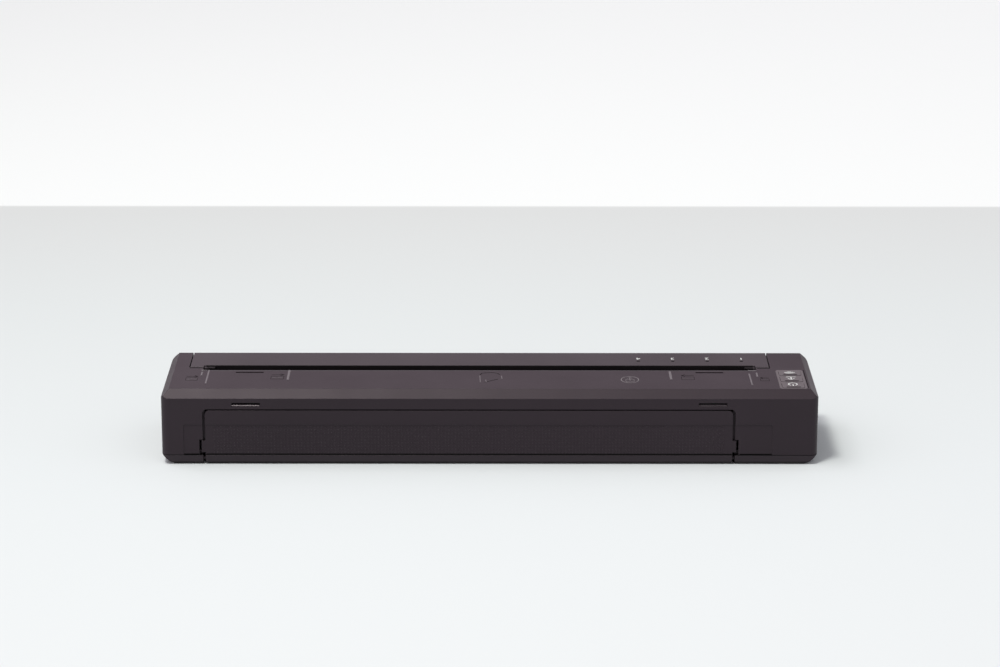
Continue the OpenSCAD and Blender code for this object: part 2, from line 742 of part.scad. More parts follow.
module exit_guide() color([0.16, 0.15, 0.16]) {
    y0 = head_y + 1.2;
    y1 = in_back - 0.1;
    top = head_z - 0.3;
    along_x(slot_l, slot_r) polygon([
        [y0, top], [y1, sill_z - 0.1], [y1, sill_z - 1.3], [y0 + rib_t, top - rib_t],
        [y0 + rib_t, floor_z], [y0, floor_z],
    ]);
    for (i = [-4:4]) {
        x = path_x + i * slot_w / 8.2;
        along_x(x - rib_t / 2, x + rib_t / 2)
            polygon([[y0 + 1, floor_z], [in_back - under(lip_in) - 0.3, floor_z], [y1, lip_h + 0.2],
                     [y1, sill_z - 1.2], [y0 + 1, top - 0.5]]);
    }
}

// ---- print head ----
module print_head() color([0.86, 0.84, 0.78]) {
    block(platen_l, platen_right, head_y - head_d, head_y, head_z - head_t, head_z);
    along_x(platen_l + 2, platen_right - 2)
        polygon([[platen_y - 0.6, head_z - eps], [platen_y - 0.3, head_z + head_line],
                 [platen_y + 0.3, head_z + head_line], [platen_y + 0.6, head_z - eps]]);
    block(platen_l + 6, platen_right - 6, head_y - head_d + 0.3, head_y - head_d + 2.6,
          head_z - eps, head_z + 0.6);
}

module heat_sink() color([0.78, 0.79, 0.80]) difference() {
    block(platen_l, platen_right, head_y - head_d - 1, head_y + 0.8, sink_z, head_z - head_t);
    for (i = [0:spring_n - 1]) rod_z(spring_r + 0.3, spring_x(i), spring_y, sink_z - 1, sink_z + 1);
    // grooves along the underside
    for (y = [head_y - 4.2, head_y - 2])
        block(platen_l - 1, platen_right + 1, y, y + 1.1, sink_z - 1, sink_z + 1.4);
}

function spring_x(i) = path_x + (i - (spring_n - 1) / 2) * spring_pitch;

// one round wire wound into a spring between two heights
module coil(r, wire, turns, z0, z1) {
    sides = 6;
    steps = 10 * turns;
    rise = z1 - z0 - wire;
    function ring(i) = let (a = 360 * turns * i / steps, z = z0 + wire / 2 + rise * i / steps)
        [for (k = [0:sides - 1]) let (b = 360 * k / sides, q = r + wire / 2 * cos(b))
            [q * cos(a), q * sin(a), z + wire / 2 * sin(b)]];
    pts = [for (i = [0:steps]) each ring(i)];
    walls = [for (i = [0:steps - 1], k = [0:sides - 1]) let (n = (k + 1) % sides)
        each [[i * sides + k, (i + 1) * sides + k, (i + 1) * sides + n],
              [i * sides + k, (i + 1) * sides + n, i * sides + n]]];
    caps = [[for (k = [0:sides - 1]) k], [for (k = [sides - 1:-1:0]) steps * sides + k]];
    polyhedron(pts, concat(walls, caps));
}

module head_springs() color([0.70, 0.70, 0.72])
    for (i = [0:spring_n - 1])
        translate([spring_x(i), spring_y, 0])
            coil(spring_r - wire_d / 2, wire_d, spring_turns, floor_z, sink_z + 1);

module head_cable() color([0.80, 0.62, 0.30])
    along_x(path_x - cable_w / 2, path_x + cable_w / 2) polygon([
        [head_y - head_d - 1.3, sink_z + 3.4], [tray_y + 1.2, sink_z + 3.4], [tray_y + 0.9, sink_z + 3.8],
        [tray_y + 0.9, board_z + board_t + 0.6], [tray_y - 1.3, board_z + board_t + 0.6],
        [tray_y - 1.3, board_z + board_t + 0.9], [tray_y + 1.2, board_z + board_t + 0.9],
        [tray_y + 1.2, sink_z + 3.7], [head_y - head_d - 1.3, sink_z + 3.7],
    ]);

// ---- battery ----
module battery_cover() color([0.20, 0.19, 0.205]) {
    difference() {
        intersection() {
            difference() {
                blank();
                blank(wall);
            }
            along_y(front_y, door_c[0] + 0.1) door_outline(0, 0);
        }
        front_crease();
    }
    intersection() {
        blank();
        rod_x(barrel_r, door_l, door_r, door_c);
    }
    rod_x(door_pin_r, door_l - door_pin_l, door_r + door_pin_l, door_c);
    // snap tongues and stiffening ribs
    for (s = [-1, 1]) {
        x = path_x + s * tab_dx;
        block(x - tab_w / 2, x + tab_w / 2, in_front - eps, in_front + 1.3, door_top - 0.9, door_top - 0.2);
    }
    for (i = [-4:4]) {
        x = (door_l + door_r) / 2 + i * door_w / 9;
        block(x - 0.6, x + 0.6, in_front - eps, in_front + 0.4, lip_h + 1, door_top - 1.6);
    }
}

module battery_tray() color([0.15, 0.15, 0.16]) {
    block(tray_l, tray_r, in_front + 0.3, tray_y, tray_z, tray_z + tray_t);
    block(tray_l, tray_r, tray_y - tray_t, tray_y, floor_z, tray_z + eps);
    for (x = [tray_l, tray_r - tray_t])
        block(x, x + tray_t, in_front + 3.4, tray_y, floor_z, tray_z + eps);
    for (s = [-1, 1]) {
        x = path_x + s * tab_dx;
        along_x(x - tab_w / 2 + 0.1, x + tab_w / 2 - 0.1) polygon([
            [front_y + 0.1, slit_z + 0.1], [front_y + 0.8, slit_z + 0.8], [in_front + 1.4, slit_z + 0.8],
            [in_front + 1.4, tray_z + eps], [in_front + 0.3, tray_z + eps], [in_front + 0.3, slit_z + 0.1],
        ]);
    }
    for (x = board_x, y = [in_front + 4, tray_y - 2.4])
        rod_z(1.7, x, y, tray_z + tray_t - eps, board_z);
}

module battery_pack() color([0.13, 0.13, 0.14]) difference() {
    along_x(pack_l, pack_r) polygon([
        [pack_y + pack_bevel, pack_z], [pack_back, pack_z], [pack_back, pack_top],
        [pack_y + pack_bevel, pack_top], [pack_y, pack_top - pack_bevel], [pack_y, pack_z + pack_bevel],
    ]);
    // contact slots in its right end
    for (i = [0:4])
        block(pack_r - 3, pack_r + 1, contact_y(i) - 0.5, contact_y(i) + 0.5, pack_z + 3, pack_z + 10);
}

function contact_y(i) = pack_y + 4.6 + i * 2.6;

module battery_connector() color([0.10, 0.10, 0.11]) difference() {
    block(pack_r + pack_gap, tray_r - tray_t, contact_y(0) - 2, contact_y(4) + 2.2, floor_z, pack_z + 12);
    for (i = [0:4]) contact(i);
}

module battery_contacts() color([0.85, 0.68, 0.30])
    for (i = [0:4]) contact(i);

module contact(i)
    block(pack_r - 2, pack_r + 2, contact_y(i) - 0.25, contact_y(i) + 0.25, pack_z + 3.4, pack_z + 9.6);

// ---- boards ----
module main_board() color([0.10, 0.35, 0.20]) difference() {
    block(tray_l + 2, tray_r - 2, in_front + 2, tray_y - 0.4, board_z, board_z + board_t);
    for (x = board_x, y = [in_front + 4, tray_y - 2.4])
        rod_z(screw_r + 0.1, x, y, board_z - 1, board_z + board_t + 1);
}

module board_chips() color([0.08, 0.08, 0.09]) {
    top = board_z + board_t;
    // place along the board, and side, of each chip
    for (c = [[0.24, 9], [0.38, 12], [0.49, 7], [0.66, 9], [0.8, 6]]) {
        x = tray_l + c[0] * board_l;
        block(x - c[1] / 2, x + c[1] / 2, chip_y - c[1] / 2, chip_y + c[1] / 2, top, top + 1);
    }
}

module board_connectors() color([0.85, 0.84, 0.80]) {
    top = board_z + board_t;
    block(path_x - cable_w / 2 - 2, path_x + cable_w / 2 + 2, tray_y - 3.6, tray_y - 1.4, top, top + 1.6);
    for (x = [board_x[2] - 20, board_x[2] - 10])
        block(x - 3, x + 3, tray_y - 5, tray_y - 1.4, top, top + 1.6);
}

module board_screws() color([0.65, 0.65, 0.67]) {
    top = board_z + board_t;
    for (x = board_x, y = [in_front + 4, tray_y - 2.4]) {
        rod_z(screw_r, x, y, board_z, top);
        rod_z(1.9, x, y, top, top + 0.9);
    }
    for (y = post_y) {
        rod_z(screw_r - 0.3, post_x, y, key_board_z - 4, key_board_z + key_board_t);
        rod_z(1.6, post_x, y, key_board_z + key_board_t, key_board_z + key_board_t + 0.8);
    }
}

// ---- keys ----
module key_board() color([0.10, 0.35, 0.20]) difference() {
    block(cover_r + 2.2, key_x + 2.6, front_y + 2.9, panel_y + 0.9, key_board_z, key_board_z + key_board_t);
    for (y = post_y) rod_z(screw_r, post_x, y, key_board_z - 1, key_board_z + key_board_t + 1);
}

module key_switches() color([0.75, 0.75, 0.76])
    for (i = [0:2]) {
        y = key_y - i * key_pitch;
        z = key_board_z + key_board_t;
        block(key_x - 2, key_x + 2, y - 1.9, y + 1.9, z, z + switch_h - 0.6);
        rod_z(1, key_x, y, z + switch_h - 0.6 - eps, z + switch_h);
    }

module key_panel() color([0.42, 0.40, 0.40]) difference() {
    translate([key_x, panel_y - panel_d / 2, body_h - panel_t])
        linear_extrude(panel_t) rounded(panel_w - 0.1, panel_d - 0.1, 1.45);
    for (i = [0:2])
        translate([key_x, key_y - i * key_pitch, body_h - panel_t - 1])
            linear_extrude(panel_t + 2) rounded(key_w + 2 * key_play, key_d + 2 * key_play, 1.1);
}

module key(i) {
    y = key_y - i * key_pitch;
    translate([key_x, y, 0]) {
        translate([0, 0, ceil_z - 0.3]) linear_extrude(wall + 0.4) rounded(key_w, key_d, 1);
        translate([0, 0, ceil_z - 1]) linear_extrude(0.8) rounded(key_w + 1.2, key_d + 0.9, 1);
        rod_z(1.4, 0, 0, stem_z, ceil_z - 0.6);
        // raised ridge along the key's front edge
        along_x(-key_w / 2 + 1.6, key_w / 2 - 1.6)
            polygon([[-key_d / 2 + 0.8, body_h - 0.3], [-key_d / 2 + 0.8, body_h + 0.4],
                     [-key_d / 2 + 1.2, body_h + 0.4], [-key_d / 2 + 2.8, body_h - 0.3]]);
    }
}

module power_key() color([0.42, 0.40, 0.40]) key(2);
module feed_key() color([0.42, 0.40, 0.40]) key(1);
module radio_key() color([0.42, 0.40, 0.40]) key(0);

// ---- ports ----
module port_board() color([0.10, 0.35, 0.20])
    block(in_end - 9.2, in_end - 0.2, front_y + 7.6, front_y + 29.8, port_board_z, port_board_z + board_t);

module power_inlet() color([0.10, 0.10, 0.11]) difference() {
    union() {
        block(in_end - 10.6, in_end - 0.1, inlet_y - inlet_w / 2, inlet_y + inlet_w / 2,
              port_z, port_z + inlet_h);
        rod_x(inlet_r + 0.7, in_end - 0.2, port_face, [inlet_y, port_z + inlet_h / 2]);
    }
    rod_x(inlet_r, port_face - inlet_l, port_face + 1, [inlet_y, port_z + inlet_h / 2]);
}

module data_port() color([0.75, 0.75, 0.76]) {
    translate([0, data_y, port_z + port_h / 2]) {
        difference() {
            translate([port_face - 7.4, 0, 0]) rotate([90, 0, 90])
                linear_extrude(7.4) rounded(port_w, port_h, port_h / 2 - 0.05);
            translate([port_face - 6.4, 0, 0]) rotate([90, 0, 90])
                linear_extrude(8) rounded(port_w - 0.7, port_h - 0.7, port_h / 2 - 0.4);
        }
        block(port_face - 6.5, port_face - 1, -port_w / 2 + 1.2, port_w / 2 - 1.2, -0.35, 0.35);
    }
}

// ---- fasteners ----
module case_screws() color([0.25, 0.25, 0.26])
    for (p = corner_screws) difference() {
        union() {
            rod_z(screw_head_r, p[0], p[1], floor_z - 1, floor_z);
            rod_z(screw_r, p[0], p[1], floor_z - eps, ceil_z - 13);
        }
        translate([p[0], p[1], 0]) for (a = [0, 90]) rotate([0, 0, a])
            block(-1.2, 1.2, -0.3, 0.3, 0, floor_z - 0.4);
    }

module plate_screws() color([0.65, 0.65, 0.67])
    rod_z(1.6, side_l + 1.8, slot_y + 2, floor_z + plate_t, floor_z + plate_t + 0.9);

upper_case();
lower_case();
release_cover();
battery_cover();
key_panel();
power_key();
feed_key();
radio_key();
light_guides();
light_board();
paper_chute();
exit_guide();
battery_tray();
left_side_plate();
right_side_plate();
cover_hinge_pins();
platen_sleeve();
platen_shaft();
platen_gear();
platen_bushings();
print_head();
heat_sink();
head_springs();
head_cable();
motor_can();
motor_bracket();
motor_pinion();
reduction_gear();
idler_gear();
relay_gear();
gear_axles();
battery_pack();
battery_connector();
battery_contacts();
main_board();
board_chips();
board_connectors();
key_board();
key_switches();
port_board();
power_inlet();
data_port();
case_screws();
board_screws();
plate_screws();
rubber_feet();
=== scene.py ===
"""Page-width portable thermal printer: its finishes, fine parts, printed and raised marks, stage, light and camera.

Lengths are in metres; MM turns a millimetre into metres. +X runs along the printer towards its keys,
-Y is the battery side, which faces the camera, and +Z is up.
"""
import json
import math

import bmesh
import bpy
from mathutils import Matrix, Vector


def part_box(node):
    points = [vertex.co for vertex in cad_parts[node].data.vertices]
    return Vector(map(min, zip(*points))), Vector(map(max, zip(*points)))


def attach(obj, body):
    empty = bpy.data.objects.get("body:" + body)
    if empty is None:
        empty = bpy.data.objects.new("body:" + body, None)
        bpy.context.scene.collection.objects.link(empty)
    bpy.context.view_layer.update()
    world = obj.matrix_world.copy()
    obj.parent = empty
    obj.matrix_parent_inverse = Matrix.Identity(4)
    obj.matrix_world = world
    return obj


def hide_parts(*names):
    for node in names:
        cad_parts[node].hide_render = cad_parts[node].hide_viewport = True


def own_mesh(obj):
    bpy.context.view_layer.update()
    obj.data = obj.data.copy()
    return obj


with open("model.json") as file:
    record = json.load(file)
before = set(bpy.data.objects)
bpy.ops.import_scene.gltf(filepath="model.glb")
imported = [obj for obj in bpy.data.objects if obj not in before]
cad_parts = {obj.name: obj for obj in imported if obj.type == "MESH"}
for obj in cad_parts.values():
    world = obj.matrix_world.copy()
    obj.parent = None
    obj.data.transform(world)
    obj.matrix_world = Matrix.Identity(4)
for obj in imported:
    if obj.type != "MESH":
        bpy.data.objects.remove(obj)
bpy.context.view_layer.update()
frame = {"nodes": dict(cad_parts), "record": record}
nodes = frame["nodes"]
MM = 0.001


# ---- camera ----

LENS = 121.114           # mm on a 36 mm wide sensor
CAMERA_AT = Vector((0.2, -1270.9, 412.9)) * MM
PITCH, YAW, ROLL = (math.radians(a) for a in (16.136, -0.171, 0.092))


def add_camera():
    """The photograph's view, from a little above the front."""
    forward = Vector((-math.sin(YAW) * math.cos(PITCH), math.cos(YAW) * math.cos(PITCH), -math.sin(PITCH)))
    level = Vector((math.cos(YAW), math.sin(YAW), 0))
    upright = level.cross(forward)
    right = level * math.cos(ROLL) + upright * math.sin(ROLL)
    up = upright * math.cos(ROLL) - level * math.sin(ROLL)
    data = bpy.data.cameras.new("camera")
    data.sensor_fit = "HORIZONTAL"
    data.sensor_width = 36
    data.lens = LENS
    data.clip_start, data.clip_end = 0.05, 60
    camera = bpy.data.objects.new("camera", data)
    bpy.context.scene.collection.objects.link(camera)
    camera.matrix_world = Matrix.Translation(CAMERA_AT) @ Matrix((right, up, -forward)).transposed().to_4x4()
    bpy.context.scene.camera = camera


add_camera()


# ---- places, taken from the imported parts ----

def low(node):
    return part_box(node)[0]


def high(node):
    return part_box(node)[1]


TOP = high("upper_case").z
FRONT = low("battery_cover").y
PANEL_DEPTH = 0.3 * MM                  # the panel under the front crease lies this much further in
CREASE = 16.3 * MM                      # height of the crease across the front
SLOT_L, SLOT_R = low("paper_chute").x, high("paper_chute").x
COVER_FRONT = 6.7 * MM                  # the release cover's wall along the paper slot
EAR_FRONT = 4.25 * MM                   # the upper case ends here before the release cover's ears
PARTING = 3.9 * MM                      # height at which the upper and the lower case meet
DOOR_L, DOOR_R = low("battery_cover").x, high("battery_cover").x
DOOR_PIN = 2.6 * MM                     # the battery cover's hinge pins stand out this far at its ends
SPRING_WIRE = 0.5 * MM                  # thickness of the wire of the print head's springs
SKIN = 0.02 * MM                        # height of the thinnest marks; every mark reaches as far into its base
KEY_X = (low("power_key").x + high("power_key").x) / 2


# ---- materials ----

def srgb(r, g, b):
    """A colour as it looks on screen, 0 to 255, as the linear value that a shader takes."""
    def linear(c):
        c /= 255
        return c / 12.92 if c <= 0.04045 else ((c + 0.055) / 1.055) ** 2.4
    return (linear(r), linear(g), linear(b), 1)


class Finish:
    """A Principled material whose pattern nodes all read Object coordinates."""

    def __init__(self, name, colour, rough, metallic=0.0, specular=0.5, sheen=(1, 1, 1)):
        self.material = bpy.data.materials.new(name)
        self.material.use_nodes = True
        tree = self.material.node_tree
        self.nodes, self.links = tree.nodes, tree.links
        self.nodes.clear()
        self.shader = self.node("ShaderNodeBsdfPrincipled")
        output = self.node("ShaderNodeOutputMaterial")
        self.link(self.shader, "BSDF", output, "Surface")
        self.colour = colour
        self.set(self.shader, "Base Color", colour)
        self.set(self.shader, "Roughness", rough)
        self.set(self.shader, "Metallic", metallic)
        self.set(self.shader, "Specular IOR Level", specular)
        self.set(self.shader, "Specular Tint", (*sheen, 1))
        self.rough = rough
        self.place = self.node("ShaderNodeTexCoord")
        self.normal = None

    def node(self, kind, **settings):
        made = self.nodes.new(kind)
        for key, value in settings.items():
            setattr(made, key, value)
        return made

    def set(self, node, socket, value):
        node.inputs[socket].default_value = value

    def link(self, source, output, target, socket):
        self.links.new(source.outputs[output], target.inputs[socket])

    def noise(self, size, detail=2.0, stretch=(1, 1, 1)):
        """A noise whose grains are about this size, drawn out by stretch."""
        mapping = self.node("ShaderNodeMapping")
        self.set(mapping, "Scale", tuple(1 / s for s in stretch))
        self.link(self.place, "Object", mapping, "Vector")
        made = self.node("ShaderNodeTexNoise")
        self.set(made, "Scale", 1 / size)
        self.set(made, "Detail", detail)
        self.link(mapping, "Vector", made, "Vector")
        return made

    def mottled(self, size, spread, detail=3.0, stretch=(1, 1, 1)):
        """Lets the colour drift to darker and lighter patches."""
        noise = self.noise(size, detail, stretch)
        ramp = self.node("ShaderNodeValToRGB")
        ramp.color_ramp.elements[0].position = 0.3
        ramp.color_ramp.elements[1].position = 0.7
        ramp.color_ramp.elements[0].color = (*(c * (1 - spread) for c in self.colour[:3]), 1)
        ramp.color_ramp.elements[1].color = (*(min(c * (1 + spread), 1) for c in self.colour[:3]), 1)
        self.link(noise, "Fac", ramp, "Fac")
        self.link(ramp, "Color", self.shader, "Base Color")
        return self

    def smudged(self, size, spread, stretch=(1, 1, 1)):
        """Lets the roughness drift, as handling and tool marks do."""
        noise = self.noise(size, 3.0, stretch)
        span = self.node("ShaderNodeMapRange")
        self.set(span, "From Min", 0.3)
        self.set(span, "From Max", 0.7)
        self.set(span, "To Min", max(self.rough - spread, 0.02))
        self.set(span, "To Max", min(self.rough + spread, 1))
        self.link(noise, "Fac", span, "Value")
        self.link(span, "Result", self.shader, "Roughness")
        return self

    def grained(self, size, depth, detail=1.0, stretch=(1, 1, 1)):
        """A bumpy surface: grains of this size, this deep."""
        noise = self.noise(size, detail, stretch)
        bump = self.node("ShaderNodeBump")
        self.set(bump, "Distance", depth)
        self.link(noise, "Fac", bump, "Height")
        if self.normal:
            self.link(self.normal, "Normal", bump, "Normal")
        self.link(bump, "Normal", self.shader, "Normal")
        self.normal = bump
        return self

    def rounded(self, radius):
        """Softens the look of sharp edges; called before grained."""
        bevel = self.node("ShaderNodeBevel", samples=4)
        self.set(bevel, "Radius", radius)
        self.link(bevel, "Normal", self.shader, "Normal")
        self.normal = bevel
        self.bevel = bevel
        return self

    def highlight_edges(self, colour, strength):
        """Painted highlight: lightens the edges that rounded() found, where a rounded edge would catch the light;
        called after mottled and rounded.
        """
        flat = self.node("ShaderNodeNewGeometry")
        dot = self.node("ShaderNodeVectorMath", operation="DOT_PRODUCT")
        self.link(self.bevel, "Normal", dot, 0)
        self.link(flat, "Normal", dot, 1)
        edge = self.node("ShaderNodeMapRange")
        self.set(edge, "From Min", 0.995)
        self.set(edge, "From Max", 0.8)
        self.set(edge, "To Min", 0)
        self.set(edge, "To Max", strength)
        self.link(dot, "Value", edge, "Value")
        return self.mixed(edge.outputs["Result"], colour)

    def mixed(self, share, colour):
        """Lays another colour over the present one, as much of it as share says."""
        mix = self.node("ShaderNodeMix", data_type="RGBA")
        sockets = {socket.name: socket for socket in mix.inputs if socket.type == "RGBA"}
        self.links.new(share, mix.inputs["Factor"])
        self.links.new(self.shader.inputs["Base Color"].links[0].from_socket, sockets["A"])
        sockets["B"].default_value = colour
        result = [socket for socket in mix.outputs if socket.type == "RGBA"][0]
        self.links.new(result, self.shader.inputs["Base Color"])
        return self

    def patched(self, colour, *limits):
        """Lays another colour over what lies within all the limits: (axis, "above" or "below", place)."""
        split = self.node("ShaderNodeSeparateXYZ")
        self.link(self.place, "Object", split, "Vector")
        share = None
        for axis, side, place in limits:
            test = self.node("ShaderNodeMath", operation="GREATER_THAN" if side == "above" else "LESS_THAN")
            test.inputs[1].default_value = place
            self.link(split, axis, test, 0)
            if share:
                both = self.node("ShaderNodeMath", operation="MULTIPLY")
                self.link(share, "Value", both, 0)
                self.link(test, "Value", both, 1)
                test = both
            share = test
        return self.mixed(share.outputs["Value"], colour)


def moulded(name, colour, rough, grain=0.35 * MM, depth=0.02 * MM, specular=0.4, round_edge=0.2 * MM,
            sheen=(1, 1, 1)):
    """Spark-eroded moulded plastic."""
    finish = Finish(name, colour, rough, specular=specular, sheen=sheen)
    finish.mottled(60 * MM, 0.10)
    finish.smudged(35 * MM, 0.04)
    finish.rounded(round_edge)
    finish.grained(grain, depth)
    return finish


WARM = (1.0, 0.88, 0.95)                # the brownish violet cast of the case's gloss


def case_plastic(name, colour, rough, edge_highlight, strength=0.5, round_edge=0.2 * MM):
    """Textured case plastic, painted a little lighter along its edges as highlight."""
    return moulded(name, colour, rough, specular=0.3, round_edge=round_edge, sheen=WARM).highlight_edges(edge_highlight, strength)


def metal(name, colour, rough, stretch=(1, 1, 1), size=0.4 * MM, depth=0.004 * MM):
    """Bare metal with fine tool marks, drawn out by stretch."""
    finish = Finish(name, colour, rough, metallic=1.0)
    finish.mottled(15 * MM, 0.06)
    finish.smudged(6 * MM, 0.06, stretch)
    finish.rounded(0.08 * MM)
    return finish.grained(size, depth, 2.0, stretch).material


def rubber(name, colour, rough):
    """Ground or moulded rubber with a very fine grain."""
    finish = Finish(name, colour, rough, specular=0.35)
    finish.mottled(12 * MM, 0.12)
    finish.smudged(8 * MM, 0.05)
    finish.rounded(0.1 * MM)
    return finish.grained(0.15 * MM, 0.006 * MM).material


def board(name, colour):
    """Solder resist over copper tracks: a fine net of slightly lighter lines."""
    finish = Finish(name, colour, 0.35)
    finish.mottled(5 * MM, 0.25, 2.0, (4, 1, 1))
    finish.smudged(4 * MM, 0.08)
    finish.rounded(0.05 * MM)
    return finish.grained(1.2 * MM, 0.02 * MM, 0.0, (6, 1, 1)).material


def clear_rod(name):
    """Clear moulded plastic, a little cloudy."""
    finish = Finish(name, (0.55, 0.57, 0.58, 1), 0.12)
    finish.set(finish.shader, "IOR", 1.49)
    finish.set(finish.shader, "Transmission Weight", 0.6)
    finish.mottled(1 * MM, 0.08)
    return finish.grained(0.3 * MM, 0.004 * MM).material


PAINTED_SHADE = (0.003, 0.003, 0.003, 1)         # painted shade for the case's parting groove and foot and the cover's wall in the paper slot


def case_finish():
    """The case's plastic, with painted light low down: the lip above the foot painted paler as a reflection of the
    bright table, and the parting groove and the foot painted dark as shade.
    """
    foot, groove, groove_top = 1.2 * MM, PARTING - 0.15 * MM, PARTING + 0.2 * MM
    finish = case_plastic("case_black", (0.0160, 0.0115, 0.0150, 1), 0.46, (0.05, 0.045, 0.05, 1))
    finish.patched((0.022, 0.017, 0.021, 1), ("Z", "above", foot), ("Z", "below", groove))
    finish.patched(PAINTED_SHADE, ("Z", "above", groove), ("Z", "below", groove_top))
    return finish.patched(PAINTED_SHADE, ("Z", "below", foot)).material


def cover_finish():
    """The release cover's plastic, with painted shade on the wall that faces the paper slot."""
    finish = case_plastic("cover_black", (0.034, 0.029, 0.033, 1), 0.50, (0.07, 0.065, 0.07, 1))
    return finish.patched(PAINTED_SHADE, ("X", "above", SLOT_L + 1 * MM), ("X", "below", SLOT_R - 1 * MM),
                          ("Y", "below", COVER_FRONT + 0.6 * MM)).material


CASE = case_finish()
COVER = cover_finish()
KEYS = case_plastic("key_grey", (0.100, 0.088, 0.094, 1), 0.42, (0.12, 0.11, 0.12, 1),
                    strength=0.0, round_edge=0.03 * MM).material
INNER = moulded("inner_black", (0.010, 0.009, 0.010, 1), 0.45, sheen=WARM).material
TRAY = moulded("tray_black", (0.024, 0.020, 0.023, 1), 0.36, specular=0.6, sheen=WARM).material
GEARS = moulded("gear_natural", (0.62, 0.59, 0.50, 1), 0.38, 0.5 * MM, 0.004 * MM, 0.5, 0.05 * MM).material
WHITE_BODY = moulded("connector_white", (0.62, 0.59, 0.52, 1), 0.45, 0.4 * MM, 0.005 * MM, 0.5, 0.05 * MM).material
CHIP = moulded("chip_black", (0.012, 0.012, 0.013, 1), 0.5, 0.15 * MM, 0.006 * MM, 0.4, 0.05 * MM).material
BATTERY = moulded("battery_black", (0.016, 0.016, 0.018, 1), 0.42, 0.3 * MM, 0.01 * MM, 0.4, 0.3 * MM).material
CERAMIC = moulded("ceramic", (0.60, 0.56, 0.46, 1), 0.22, 0.3 * MM, 0.001 * MM, 0.5, 0.05 * MM).material
FILM = moulded("copper_film", (0.42, 0.17, 0.03, 1), 0.3, 2 * MM, 0.01 * MM, 0.5, 0.05 * MM).material
STEEL = metal("steel", (0.48, 0.48, 0.50, 1), 0.32, (6, 1, 1))
ALUMINIUM = metal("aluminium", (0.66, 0.67, 0.68, 1), 0.36, (20, 1, 1))
BRASS = metal("brass", (0.62, 0.42, 0.14, 1), 0.28)
ZINC_BLACK = metal("screw_black", (0.035, 0.035, 0.038, 1), 0.4)
PLATEN = rubber("platen_rubber", (0.012, 0.012, 0.013, 1), 0.6)
FOOT = rubber("foot_rubber", (0.016, 0.016, 0.016, 1), 0.75)
BOARD = board("board_green", (0.010, 0.075, 0.030, 1))
CLEAR = clear_rod("light_guide")

BY_SLOT = {
    "case_black": CASE, "cover_black": COVER, "key_grey": KEYS, "inner_black": INNER,
    "light_guide": CLEAR, "gear_natural": GEARS, "platen_rubber": PLATEN, "foot_rubber": FOOT,
    "steel": STEEL, "aluminium": ALUMINIUM, "ceramic": CERAMIC, "brass": BRASS, "copper_film": FILM,
    "board_green": BOARD, "chip_black": CHIP, "connector_white": WHITE_BODY, "screw_black": ZINC_BLACK,
    "battery_black": BATTERY,
}


def dress_nodes():
    """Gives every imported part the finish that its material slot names."""
    for part in frame["record"]["subparts"]:
        for place in nodes[part["node"]].material_slots:
            place.material = BY_SLOT[part["material_slot"]]


dress_nodes()
nodes["battery_tray"].material_slots[0].material = TRAY


def ink(name, colour, rough=0.45):
    """Printed ink, a little uneven."""
    finish = Finish(name, colour, rough)
    finish.mottled(1.5 * MM, 0.08)
    return finish.grained(0.3 * MM, 0.004 * MM).material


WHITE_INK = ink("ink_white", (0.72, 0.74, 0.73, 1))
GREY_INK = ink("ink_grey", (0.17, 0.16, 0.165, 1))
# Painted highlight: raised marks paler than the case, where their edges would catch the light; faint marks the
# same, fainter.
RAISED_HIGHLIGHT = moulded("raised_highlight_marks", (0.110, 0.100, 0.108, 1), 0.4, 0.3 * MM, 0.004 * MM, 0.5, 0.05 * MM).material
FAINT_HIGHLIGHT = moulded("faint_highlight_marks", (0.055, 0.050, 0.054, 1), 0.4, 0.3 * MM, 0.004 * MM, 0.4, 0.05 * MM).material
# Painted shade: near black and matt, standing for the shade in grooves, gaps and sunk lines.
SUNK_SHADE = moulded("sunk_shade_marks", (0.003, 0.003, 0.003, 1), 0.7, 0.3 * MM, 0.004 * MM, 0.05, 0.05 * MM).material


# ---- making meshes ----

def piece(name, mesh, material, body):
    """Links a finished mesh, gives it its finish and makes it ride on a body."""
    mesh.materials.clear()
    mesh.materials.append(material)
    made = bpy.data.objects.new(name, mesh)
    bpy.context.scene.collection.objects.link(made)
    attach(made, body)
    return made


def from_bmesh(name, built):
    bmesh.ops.remove_doubles(built, verts=built.verts, dist=0.001 * MM)
    bmesh.ops.recalc_face_normals(built, faces=built.faces)
    mesh = bpy.data.meshes.new(name)
    built.to_mesh(mesh)
    built.free()
    return mesh


def arc(x, y, radius, start, end, steps=12):
    """Points on an arc, angles in degrees."""
    angles = [math.radians(start + (end - start) * i / steps) for i in range(steps + 1)]
    return [(x + radius * math.cos(a), y + radius * math.sin(a)) for a in angles]


def add_line(built, points, width, base, top, closed=False):
    """A raised line with sloping flanks along points in the plane, from height base to height top."""
    count = len(points)
    crown = width * 0.55
    rings = []
    for i, point in enumerate(points):
        here = Vector(point)
        before = Vector(points[(i - 1) % count]) if closed or i > 0 else here
        after = Vector(points[(i + 1) % count]) if closed or i < count - 1 else here
        along = (after - before).normalized()
        side = Vector((-along.y, along.x))
        ring = []
        for offset, height in ((-width, base), (-crown, top), (crown, top), (width, base)):
            spot = here + side * offset / 2
            ring.append(built.verts.new((spot.x, spot.y, height)))
        rings.append(ring)
    spans = count if closed else count - 1
    for i in range(spans):
        a, b = rings[i], rings[(i + 1) % count]
        for j in range(4):
            k = (j + 1) % 4
            built.faces.new((a[j], a[k], b[k], b[j]))
    if not closed:
        built.faces.new(rings[0])
        built.faces.new(rings[-1])


def lines_piece(name, lines, width, surface, height, material, body, closed=False):
    """One piece made of several raised or printed lines; points in millimetres."""
    built = bmesh.new()
    for points in lines:
        add_line(built, [(x * MM, y * MM) for x, y in points], width, surface - SKIN, surface + height, closed)
    return piece(name, from_bmesh(name, built), material, body)


def case_mark(name, lines, width, height, material, closed=False):
    """Moulded lines on the top of the case."""
    lines_piece(name, lines, width, TOP, height, material, "root", closed)


# ---- Geometry Nodes ----

